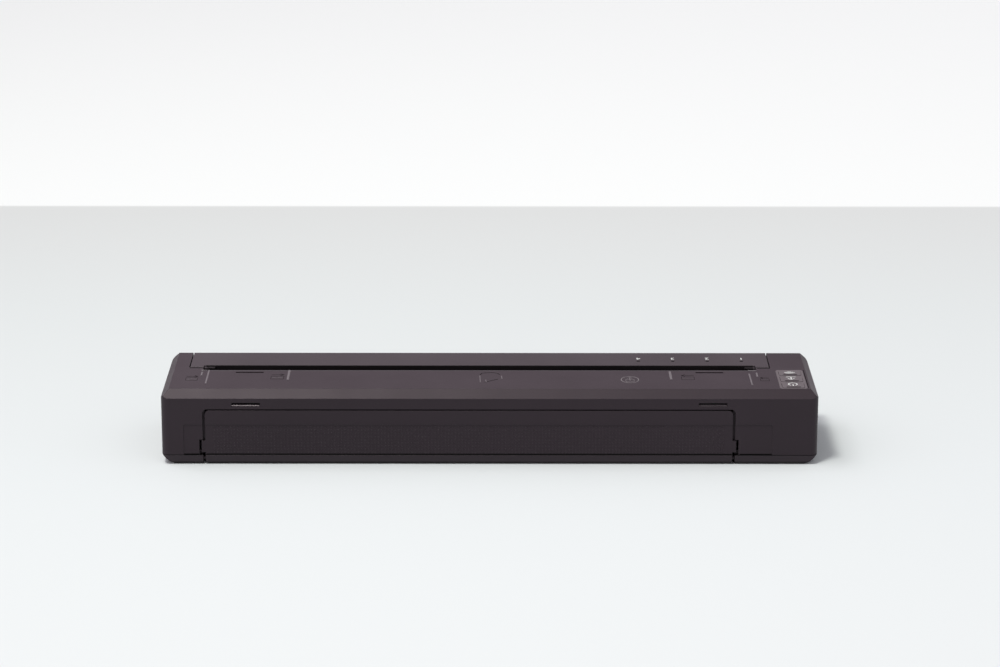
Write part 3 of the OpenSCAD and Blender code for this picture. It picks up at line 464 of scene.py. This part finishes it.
def new_tree(name, inputs):
    """A node tree with named inputs; returns it, its group input node and each input's identifier."""
    tree = bpy.data.node_groups.new(name, "GeometryNodeTree")
    tree.interface.new_socket("Geometry", in_out="OUTPUT", socket_type="NodeSocketGeometry")
    identifiers = {}
    for label, kind in inputs:
        identifiers[label] = tree.interface.new_socket(label, in_out="INPUT", socket_type=kind).identifier
    return tree, tree.nodes.new("NodeGroupInput"), identifiers


def finish_tree(tree, instances):
    """Ends a tree in Realize Instances and Set Material."""
    realize = tree.nodes.new("GeometryNodeRealizeInstances")
    paint = tree.nodes.new("GeometryNodeSetMaterial")
    output = tree.nodes.new("NodeGroupOutput")
    tree.links.new(instances, realize.inputs["Geometry"])
    tree.links.new(realize.outputs["Geometry"], paint.inputs["Geometry"])
    tree.links.new(paint.outputs["Geometry"], output.inputs["Geometry"])
    return paint


def grow(name, tree, identifiers, values, paint, material, turn, body):
    """Runs a tree once, keeps its result as a plain mesh moved by turn, and makes it a piece."""
    paint.inputs["Material"].default_value = material
    holder = bpy.data.objects.new(name + "_seed", bpy.data.meshes.new(name + "_seed"))
    bpy.context.scene.collection.objects.link(holder)
    modifier = holder.modifiers.new("grow", "NODES")
    modifier.node_group = tree
    for label, value in values.items():
        modifier[identifiers[label]] = value
    evaluated = holder.evaluated_get(bpy.context.evaluated_depsgraph_get())
    mesh = bpy.data.meshes.new_from_object(evaluated)
    mesh.name = name
    mesh.transform(turn)
    holder.modifiers.remove(modifier)
    bpy.data.objects.remove(holder)
    return piece(name, mesh, material, body)


def grid_tree(name, shape_kind, shape_settings, shape_inputs):
    """A grid of one small shape: counts, pitches and the shape's own sizes are the inputs."""
    labels = [("Count X", "NodeSocketInt"), ("Count Y", "NodeSocketInt"),
              ("Pitch X", "NodeSocketFloat"), ("Pitch Y", "NodeSocketFloat")]
    labels += [(label, "NodeSocketFloat") for label in shape_inputs]
    tree, group, identifiers = new_tree(name, labels)
    grid = tree.nodes.new("GeometryNodeMeshGrid")
    for axis in "XY":
        tree.links.new(group.outputs["Count " + axis], grid.inputs["Vertices " + axis])
        less = tree.nodes.new("ShaderNodeMath")
        less.operation = "SUBTRACT"
        less.inputs[1].default_value = 1
        tree.links.new(group.outputs["Count " + axis], less.inputs[0])
        span = tree.nodes.new("ShaderNodeMath")
        span.operation = "MULTIPLY"
        tree.links.new(less.outputs["Value"], span.inputs[0])
        tree.links.new(group.outputs["Pitch " + axis], span.inputs[1])
        tree.links.new(span.outputs["Value"], grid.inputs["Size " + axis])
    shape = tree.nodes.new(shape_kind)
    for key, value in shape_settings.items():
        if key in shape.inputs:
            shape.inputs[key].default_value = value
        else:
            setattr(shape, key, value)
    for label, socket in shape_inputs.items():
        tree.links.new(group.outputs[label], shape.inputs[socket])
    place = tree.nodes.new("GeometryNodeInstanceOnPoints")
    tree.links.new(grid.outputs["Mesh"], place.inputs["Points"])
    tree.links.new(shape.outputs["Mesh"], place.inputs["Instance"])
    return tree, identifiers, finish_tree(tree, place.outputs["Instances"])


def add_door_dots():
    """The fine raised dots over the lower panel of the battery cover."""
    pitch = 1.3 * MM
    margin = 3 * MM
    bottom, top = PARTING + 0.9 * MM, CREASE - 0.9 * MM
    left, right = DOOR_L + DOOR_PIN + margin, DOOR_R - DOOR_PIN - margin
    columns = int((right - left) / pitch) + 1
    rows = int((top - bottom) / pitch) + 1
    tree, identifiers, paint = grid_tree(
        "dots", "GeometryNodeMeshCone", {"Vertices": 6, "Side Segments": 1, "Fill Segments": 1},
        {"Base": "Radius Bottom", "Crown": "Radius Top", "Height": "Depth"})
    values = {"Count X": columns, "Count Y": rows, "Pitch X": pitch, "Pitch Y": pitch,
              "Base": 0.40 * MM, "Crown": 0.20 * MM, "Height": 0.11 * MM}
    middle = Vector(((left + right) / 2, FRONT + PANEL_DEPTH + SKIN, (bottom + top) / 2))
    turn = Matrix.Translation(middle) @ Matrix.Rotation(math.radians(90), 4, "X")
    grow("door_dots", tree, identifiers, values, paint, CASE, turn, "battery_cover")


def add_heater_line():
    """The row of heating pads along the top of the print head."""
    pitch, margin = 1.0 * MM, 3 * MM
    pad = (0.7 * MM, 3.0 * MM, 0.04 * MM)
    left, right = low("print_head").x + margin, high("print_head").x - margin
    tree, identifiers, paint = grid_tree(
        "heater_pads", "GeometryNodeMeshCube", {"Vertices X": 2, "Vertices Y": 2, "Vertices Z": 2}, {})
    cube = [n for n in tree.nodes if n.bl_idname == "GeometryNodeMeshCube"][0]
    cube.inputs["Size"].default_value = pad
    values = {"Count X": int((right - left) / pitch) + 1, "Count Y": 1, "Pitch X": pitch, "Pitch Y": pitch}
    platen_y = (low("platen_gear").y + high("platen_gear").y) / 2
    middle = Vector(((left + right) / 2, platen_y - 2.5 * MM, high("print_head").z + 0.005 * MM))
    grow("heater_pads", tree, identifiers, values, paint, FILM, Matrix.Translation(middle),
         "print_head")


def coil_tree():
    """A row of springs: a round wire along a spiral, set on the points of a line."""
    tree, group, identifiers = new_tree("coils", [
        ("Count", "NodeSocketInt"), ("Pitch", "NodeSocketFloat"), ("Turns", "NodeSocketFloat"),
        ("Radius", "NodeSocketFloat"), ("Wire Radius", "NodeSocketFloat"), ("Height", "NodeSocketFloat")])
    line = tree.nodes.new("GeometryNodeMeshLine")
    step = tree.nodes.new("ShaderNodeCombineXYZ")
    spiral = tree.nodes.new("GeometryNodeCurveSpiral")
    spiral.inputs["Resolution"].default_value = 20
    section = tree.nodes.new("GeometryNodeCurvePrimitiveCircle")
    section.inputs["Resolution"].default_value = 8
    wire = tree.nodes.new("GeometryNodeCurveToMesh")
    wire.inputs["Fill Caps"].default_value = True
    place = tree.nodes.new("GeometryNodeInstanceOnPoints")
    for label, node, socket in (("Count", line, "Count"), ("Pitch", step, "X"), ("Turns", spiral, "Rotations"),
                                ("Radius", spiral, "Start Radius"), ("Radius", spiral, "End Radius"),
                                ("Height", spiral, "Height"), ("Wire Radius", section, "Radius")):
        tree.links.new(group.outputs[label], node.inputs[socket])
    tree.links.new(step.outputs["Vector"], line.inputs["Offset"])
    tree.links.new(spiral.outputs["Curve"], wire.inputs["Curve"])
    tree.links.new(section.outputs["Curve"], wire.inputs["Profile Curve"])
    tree.links.new(line.outputs["Mesh"], place.inputs["Points"])
    tree.links.new(wire.outputs["Mesh"], place.inputs["Instance"])
    return tree, identifiers, finish_tree(tree, place.outputs["Instances"])


def add_head_springs():
    """The springs that press the print head up, as one fixed mesh riding on the root."""
    bottom, top = low("head_springs"), high("head_springs")
    wire = SPRING_WIRE / 2
    outer = (top.y - bottom.y) / 2
    height = top.z - bottom.z
    count = 4
    pitch = (top.x - bottom.x - 2 * outer) / (count - 1)
    tree, identifiers, paint = coil_tree()
    values = {"Count": count, "Pitch": pitch, "Turns": 4.0, "Radius": outer - wire,
              "Wire Radius": wire, "Height": height - 2 * wire}
    start = Vector((bottom.x + outer, (bottom.y + top.y) / 2, bottom.z + wire))
    made = grow("head_coils", tree, identifiers, values, paint, STEEL, Matrix.Translation(start), "root")
    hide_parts("head_springs")
    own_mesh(made)


add_door_dots()
add_heater_line()
add_head_springs()


# ---- light guides ----

def add_lathe(built, profile, x, y, steps=24):
    """A solid turned round an upright line: profile is (radius, height) from the bottom's middle to the top's."""
    rings = []
    for radius, height in profile:
        if radius == 0:
            rings.append([built.verts.new((x, y, height))])
        else:
            rings.append([built.verts.new((x + radius * math.cos(a), y + radius * math.sin(a), height))
                          for a in (math.tau * i / steps for i in range(steps))])
    for a, b in zip(rings, rings[1:]):
        for i in range(steps):
            k = (i + 1) % steps
            corners = [a[i % len(a)], a[k % len(a)], b[k % len(b)], b[i % len(b)]]
            built.faces.new(list(dict.fromkeys(corners)))


def add_light_guides():
    """Clear rods with domed ends that stop a little below the cover's surface."""
    bottom, top = low("light_guides"), high("light_guides")
    flange, flange_top, radius = 1.25 * MM, bottom.z + 0.3 * MM, 0.72 * MM
    crown, dome_height = top.z - 0.75 * MM, 0.45 * MM
    count = 4
    first = bottom.x + flange
    pitch = (top.x - flange - first) / (count - 1)
    y = (bottom.y + top.y) / 2
    angles = [math.radians(a) for a in (0, 25, 50, 70)]
    dome = [(radius * math.cos(a), crown - dome_height * (1 - math.sin(a))) for a in angles]
    profile = [(0, bottom.z), (flange, bottom.z), (flange, flange_top), (radius, flange_top), *dome, (0, crown)]
    built = bmesh.new()
    for i in range(count):
        add_lathe(built, profile, first + i * pitch, y)
    made = piece("light_rods", from_bmesh("light_rods", built), CLEAR, "release_cover")
    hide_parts("light_guides")


add_light_guides()


# ---- raised and sunk marks, with painted highlight and shade ----

LOW = 0.03 * MM          # height of the sheet marks' lines of painted shade


def add_guide_marks():
    """Short raised lines that show where the sheet's edges go and run along the slot's lip at its ends, and a low
    bead along the slot's lip; all painted paler as highlight.
    """
    ends = [
        [(-113.6, 0.0), (-110.7, 0.0), (-110.7, -18.0)],
        [(-113.2, -2.4), (-113.2, -7.2)],
        [(102.0, -4.4), (102.2, -19.6)],
        [(101.8, 0.0), (105.2, 0.0)],
        [(105.0, -3.0), (105.0, -8.4)],
    ]
    height = 0.14 * MM
    case_mark("end_guides", ends, 0.7 * MM, height, RAISED_HIGHLIGHT)
    inner = [[(-79.0, 0.0), (-79.0, -13.0)], [(70.9, -1.4), (71.0, -12.2)]]
    case_mark("inner_guides", inner, 1.0 * MM, height, RAISED_HIGHLIGHT)
    bead = [(-110.5, -0.25), (101.5, -0.25)]
    case_mark("slot_bead", [bead], 0.6 * MM, 0.05 * MM, FAINT_HIGHLIGHT)


def add_ear_gaps():
    """Painted shade: dark strips on the case top in front of the release cover's ears, where the steps lie in
    shade.
    """
    width = 1.4 * MM
    y = (EAR_FRONT - width / 2) / MM - 0.02
    steps = [[(low("release_cover").x / MM, y), (SLOT_L / MM - 0.2, y)],
             [(SLOT_R / MM + 0.4, y), (high("release_cover").x / MM + 0.3, y)]]
    case_mark("ear_gaps", steps, width, SKIN, SUNK_SHADE)


def add_lip_shade():
    """The dark line along the foot of the front panel, over the lip: on the battery cover and beside it."""
    middle = PARTING + 0.3 * MM
    stand = Matrix.Translation((0, FRONT + PANEL_DEPTH, middle)) @ Matrix.Rotation(math.radians(90), 4, "X")
    door_l, door_r = (DOOR_L + DOOR_PIN) / MM + 0.2, (DOOR_R - DOOR_PIN) / MM - 0.2
    for name, left, right, body in (("lip_shade_left", -118.7, -113.0, "root"),
                                    ("lip_shade_door", door_l, door_r, "battery_cover"),
                                    ("lip_shade_right", 97.2, 109.7, "root")):
        built = bmesh.new()
        add_line(built, [(left * MM, 0), (right * MM, 0)], 0.6 * MM, -SKIN, SKIN)
        mesh = from_bmesh(name, built)
        mesh.transform(stand)
        piece(name, mesh, SUNK_SHADE, body)


def add_curl_mark():
    """A sheet with a curled corner: lines painted dark as shade, with raised edges painted bright as highlight at
    either side.
    """
    outline = [(-3.8, -6.0), (-3.2, -3.6), (1.0, -2.6), (3.0, -3.8), (3.9, -5.4)]
    fold = [(3.2, -11.5), (0.2, -14.0), (-2.0, -15.8)]
    case_mark("curl_mark", [outline, fold], 0.5 * MM, LOW, SUNK_SHADE)
    edges = [[(-3.9, -7.0), (-3.7, -16.0)], [(4.6, -7.4), (4.8, -11.4)], [(-1.6, -12.6), (-1.4, -15.6)]]
    case_mark("curl_edges", edges, 0.4 * MM, 0.08 * MM, RAISED_HIGHLIGHT)


def add_sheet_mark(name, x, y, size, arrow):
    """A small sheet and an arrow behind it that points to either end (-1 or 1), in lines painted dark as shade,
    with a faint edge of painted highlight.
    """
    half = size / 2
    near, far = y - half * 1.3, y + half * 0.2
    sheet = [(x - half, near), (x + half, near), (x + half, far), (x - half, far)]
    case_mark(name + "_sheet", [sheet], 0.3 * MM, LOW, SUNK_SHADE, closed=True)
    shaft_y = y + half
    tip, barb = x + arrow * half, x + arrow * half * 0.4
    shaft = [(x - arrow * half, shaft_y), (tip, shaft_y)]
    head = [(barb, shaft_y + half * 0.5), (tip, shaft_y), (barb, shaft_y - half * 0.5)]
    case_mark(name + "_arrow", [shaft, head], 0.4 * MM, LOW, SUNK_SHADE)
    edge = [(x - half + 0.4, y - half * 0.5), (x + half - 0.4, y - half * 0.5)]
    case_mark(name + "_edge", [edge], 0.3 * MM, 0.05 * MM, FAINT_HIGHLIGHT)


def add_panel_groove():
    """Painted shade: a dark line on the case top where the groove beside the key panel lies."""
    x = high("key_panel").x / MM + 0.35
    groove = [(x, low("key_panel").y / MM + 1), (x, high("key_panel").y / MM)]
    case_mark("panel_groove", [groove], 0.45 * MM, SKIN, SUNK_SHADE)


add_guide_marks()
add_ear_gaps()
add_lip_shade()
add_curl_mark()
add_sheet_mark("left_mark", -83.2, -8.5, 5.0, 1)
add_sheet_mark("right_mark", 77.6, -9.0, 5.0, -1)
add_sheet_mark("left_end_mark", -116.6, -10.5, 4.6, 1)
add_sheet_mark("right_end_mark", 107.6, -11.5, 3.4, -1)
add_panel_groove()


# ---- printed marks ----

PRINT = 0.03 * MM        # thickness of the ink


def print_mark(name, lines, width, surface, material, body, closed=False):
    """Printed lines."""
    lines_piece(name, lines, width, surface, PRINT, material, body, closed)


def add_oval_mark():
    """A printed oval round a small sheet and an arrow."""
    x, y = 54.8, -12.2
    across, deep = 3.4, 4.2
    ring = [(x + across * math.cos(a), y + deep * math.sin(a)) for a in (math.tau * i / 32 for i in range(32))]
    print_mark("oval_mark", [ring], 0.35 * MM, TOP, GREY_INK, "root", closed=True)
    sheet = [(x - 1.6, y - 2.6), (x + 1.6, y - 2.6), (x + 1.6, y + 0.2), (x - 1.6, y + 0.2)]
    print_mark("oval_sheet", [sheet], 0.3 * MM, TOP, GREY_INK, "root", closed=True)
    shaft = [(x, y - 1.2), (x, y + 2.6)]
    head = [(x - 1.0, y + 1.6), (x, y + 2.8), (x + 1.0, y + 1.6)]
    print_mark("oval_arrow", [shaft, head], 0.3 * MM, TOP, GREY_INK, "root")


def add_number(name, text, x, y, height, body):
    """A printed number, upright for someone at the paper exit."""
    digit_share = 0.7    # a digit's height in the font, of its size
    curve = bpy.data.curves.new(name, "FONT")
    curve.body = text
    curve.size = height / digit_share * MM
    curve.align_x = "CENTER"
    curve.align_y = "CENTER"
    curve.extrude = PRINT / 2
    curve.resolution_u = 3
    holder = bpy.data.objects.new(name + "_text", curve)
    bpy.context.scene.collection.objects.link(holder)
    mesh = bpy.data.meshes.new_from_object(holder.evaluated_get(bpy.context.evaluated_depsgraph_get()))
    bpy.data.objects.remove(holder)
    mesh.name = name
    place = Vector((x * MM, y * MM, TOP + PRINT / 2))
    mesh.transform(Matrix.Translation(place) @ Matrix.Rotation(math.pi, 4, "Z"))
    piece(name, mesh, WHITE_INK, body)


def add_light_numbers():
    """The lights' numbers, counted from the key end."""
    for i, x in enumerate((100.3, 86.6, 72.9, 59.2)):
        add_number(f"light_number_{i + 1}", str(i + 1), x, 16.6, 2.6, "release_cover")


def add_key_symbols():
    """A power ring, a feed arrow and radio arcs, one on each key, upright for someone at the paper exit."""
    x = KEY_X / MM
    surface = high("key_panel").z + 0.1 * MM
    width = 0.5 * MM
    y = -18.4
    ring = arc(x, y, 1.7, 300, 600)
    bar = [(x, y - 0.3), (x, y - 2.2)]
    print_mark("power_symbol", [ring, bar], width, surface, WHITE_INK, "power_key")
    y = -10.2
    sheet = [(x - 1.9, y + 1.5), (x + 1.9, y + 1.5)]
    shaft = [(x, y + 1.2), (x, y - 1.8)]
    head = [(x - 1.3, y - 0.5), (x, y - 1.9), (x + 1.3, y - 0.5)]
    print_mark("feed_symbol", [sheet, shaft, head], width, surface, WHITE_INK, "feed_key")
    y = -2.2
    arcs = [arc(x, y + 1.3, radius, 222, 318, 8) for radius in (0.9, 1.8, 2.7)]
    print_mark("radio_symbol", arcs, width, surface, WHITE_INK, "radio_key")


add_oval_mark()
add_light_numbers()
add_key_symbols()


# ---- stage and light ----

TABLE_NEAR, TABLE_FAR = -0.3, 1.0       # the floor's tones are spread between these places along Y
TABLE_END = 0.389                       # where the paler ground beyond the table begins
BEYOND_GLOW = 0.10                      # how much paler the camera sees that ground


def add_floor():
    """One pale floor with painted light in its tone: a little darker towards the table's far edge and lighter from
    left to right against the key light's falloff; beyond the table's far edge it is paler, and paler still further
    away against the lamps' falloff.
    """
    finish = Finish("floor", (0.65, 0.66, 0.66, 1), 0.9, specular=0.0)
    split = finish.node("ShaderNodeSeparateXYZ")
    finish.link(finish.place, "Object", split, "Vector")
    depth = finish.node("ShaderNodeMapRange")
    finish.set(depth, "From Min", TABLE_NEAR)
    finish.set(depth, "From Max", TABLE_FAR)
    finish.link(split, "Y", depth, "Value")
    ramp = finish.node("ShaderNodeValToRGB")
    finish.link(depth, "Result", ramp, "Fac")
    edge = (TABLE_END - TABLE_NEAR) / (TABLE_FAR - TABLE_NEAR)
    # Painted light: the table darkens a little towards its far edge, and the ground beyond grows paler further away
    # against the lamps' falloff.
    tones = [(0.0, srgb(225, 227, 230)), (0.2, srgb(224, 227, 230)), (0.38, srgb(222, 225, 227)),
             (edge - 0.001, srgb(222, 223, 224)), (edge + 0.001, srgb(238, 239, 240)), (1.0, srgb(250, 251, 252))]
    stops = ramp.color_ramp.elements
    while len(stops) < len(tones):
        stops.new(0.5)
    for stop, (position, colour) in zip(stops, tones):
        stop.position = position
        stop.color = colour
    # Painted light: the tone rises from 0.9 to 1.1 times from left to right, against the key light's falloff.
    across = finish.node("ShaderNodeMapRange")
    for socket, value in (("From Min", -0.5), ("From Max", 0.5), ("To Min", 0.9), ("To Max", 1.1)):
        finish.set(across, socket, value)
    finish.link(split, "X", across, "Value")
    level = finish.node("ShaderNodeVectorMath", operation="SCALE")
    finish.link(ramp, "Color", level, 0)
    finish.link(across, "Result", level, "Scale")
    finish.link(level, "Vector", finish.shader, "Base Color")
    beyond = finish.node("ShaderNodeMath", operation="GREATER_THAN")
    beyond.inputs[1].default_value = TABLE_END
    finish.link(split, "Y", beyond, 0)
    path = finish.node("ShaderNodeLightPath")
    glow = finish.node("ShaderNodeMath", operation="MULTIPLY")
    finish.link(beyond, "Value", glow, 0)
    finish.link(path, "Is Camera Ray", glow, 1)
    strength = finish.node("ShaderNodeMath", operation="MULTIPLY")
    finish.link(glow, "Value", strength, 0)
    strength.inputs[1].default_value = BEYOND_GLOW
    finish.link(strength, "Value", finish.shader, "Emission Strength")
    finish.set(finish.shader, "Emission Color", (1, 1, 1, 1))
    built = bmesh.new()
    bmesh.ops.create_grid(built, x_segments=1, y_segments=1, size=12)
    mesh = bpy.data.meshes.new("floor")
    built.to_mesh(mesh)
    built.free()
    mesh.materials.append(finish.material)
    floor = bpy.data.objects.new("floor", mesh)
    bpy.context.scene.collection.objects.link(floor)


def add_softbox(name, at, aim, size, watts, colour):
    """A rectangular soft light at one place, turned towards another."""
    data = bpy.data.lights.new(name, "AREA")
    data.shape = "RECTANGLE"
    data.size, data.size_y = size
    data.energy = watts
    data.color = colour
    light = bpy.data.objects.new(name, data)
    light.location = at
    light.rotation_mode = "QUATERNION"
    light.rotation_quaternion = (Vector(aim) - Vector(at)).to_track_quat("-Z", "Y")
    bpy.context.scene.collection.objects.link(light)


def add_world(front, back, low, high):
    """Soft light from all round. Matt surfaces get front to back along Y. What mirrors it sees low near the
    horizon and high overhead, each from left to right."""
    world = bpy.data.worlds.new("studio")
    world.use_nodes = True
    tree = world.node_tree
    background = tree.nodes["Background"]
    place = tree.nodes.new("ShaderNodeTexCoord")
    split = tree.nodes.new("ShaderNodeSeparateXYZ")
    tree.links.new(place.outputs["Generated"], split.inputs["Vector"])

    def ramp(axis, start, end, first, last):
        made = tree.nodes.new("ShaderNodeMapRange")
        for socket, value in (("From Min", start), ("From Max", end), ("To Min", first), ("To Max", last)):
            made.inputs[socket].default_value = value
        tree.links.new(split.outputs[axis], made.inputs["Value"])
        return made.outputs["Result"]

    path = tree.nodes.new("ShaderNodeLightPath")
    level = tree.nodes.new("ShaderNodeMapRange")
    ceiling = tree.nodes.new("ShaderNodeMapRange")
    ceiling.inputs["From Min"].default_value, ceiling.inputs["From Max"].default_value = 0.3, 0.6
    tree.links.new(split.outputs["Z"], ceiling.inputs["Value"])
    tree.links.new(ramp("X", -0.6, 0.6, *low), ceiling.inputs["To Min"])
    tree.links.new(ramp("X", -0.4, 0.1, *high), ceiling.inputs["To Max"])
    tree.links.new(ceiling.outputs["Result"], level.inputs["To Min"])
    tree.links.new(ramp("Y", -0.8, 0.8, front, back), level.inputs["To Max"])
    tree.links.new(path.outputs["Is Diffuse Ray"], level.inputs["Value"])
    tree.links.new(level.outputs["Result"], background.inputs["Strength"])
    cast = tree.nodes.new("ShaderNodeMix")
    cast.data_type = "RGBA"
    sockets = {socket.name: socket for socket in cast.inputs if socket.type == "RGBA"}
    sockets["A"].default_value = (1.0, 0.86, 0.95, 1)
    sockets["B"].default_value = (0.975, 0.985, 1.0, 1)
    tree.links.new(path.outputs["Is Diffuse Ray"], cast.inputs["Factor"])
    result = [socket for socket in cast.outputs if socket.type == "RGBA"][0]
    tree.links.new(result, background.inputs["Color"])
    bpy.context.scene.world = world


add_floor()
add_world(front=0.66, back=0.36, low=(0.42, 0.76), high=(2.4, 0.28))
add_softbox("key_light", (-0.62, 0.0, 1.4), (0, 0, 0), (1.0, 0.5), 5, (1.0, 1.0, 0.99))
add_softbox("front_light", (-0.38, -0.55, 1.5), (0, 0, 0), (0.30, 0.25), 12.8, (0.98, 1.0, 0.92))

bpy.context.scene.view_settings.view_transform = "Standard"
